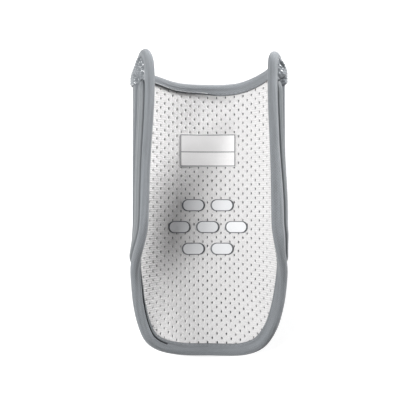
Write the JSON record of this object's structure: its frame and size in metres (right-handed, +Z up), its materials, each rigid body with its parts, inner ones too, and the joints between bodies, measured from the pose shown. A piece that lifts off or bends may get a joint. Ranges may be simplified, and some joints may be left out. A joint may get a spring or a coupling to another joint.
{
  "type": "baseball elbow guard",
  "caption": "Padded trough-shaped elbow guard with a perforated mesh liner, bound edge, side ribs and textured corner panels.",
  "frame": {"origin": "on the surface that the guard rests on, under the middle of its box", "axes": "+X across the guard to its right wall, +Y from the tongue to the two horns, +Z up out of the opening"},
  "size_m": [0.1238, 0.2406, 0.0686],
  "materials": {
    "cover": "matte padded cover, fine knit",
    "mesh": "white perforated mesh",
    "tape": "smooth stretch binding tape",
    "rib": "padded rib with fine lengthwise grooves",
    "textured_panel": "moulded diamond texture, satin",
    "label": "smooth heat-pressed label with thin grey lines",
    "grip": "smooth pale print with a thin dark outline"
  },
  "bodies": {
    "root": {"padded_shell": "cover", "mesh_liner": "mesh", "edge_tape": "tape", "rib_left": "rib", "corner_panel_left": "textured_panel", "rib_right": "rib", "corner_panel_right": "textured_panel", "name_label": "label", "grip_pad_1": "grip", "grip_pad_2": "grip", "grip_pad_3": "grip", "grip_pad_4": "grip", "grip_pad_5": "grip", "grip_pad_6": "grip", "grip_pad_7": "grip"}
  },
  "joints": []
}
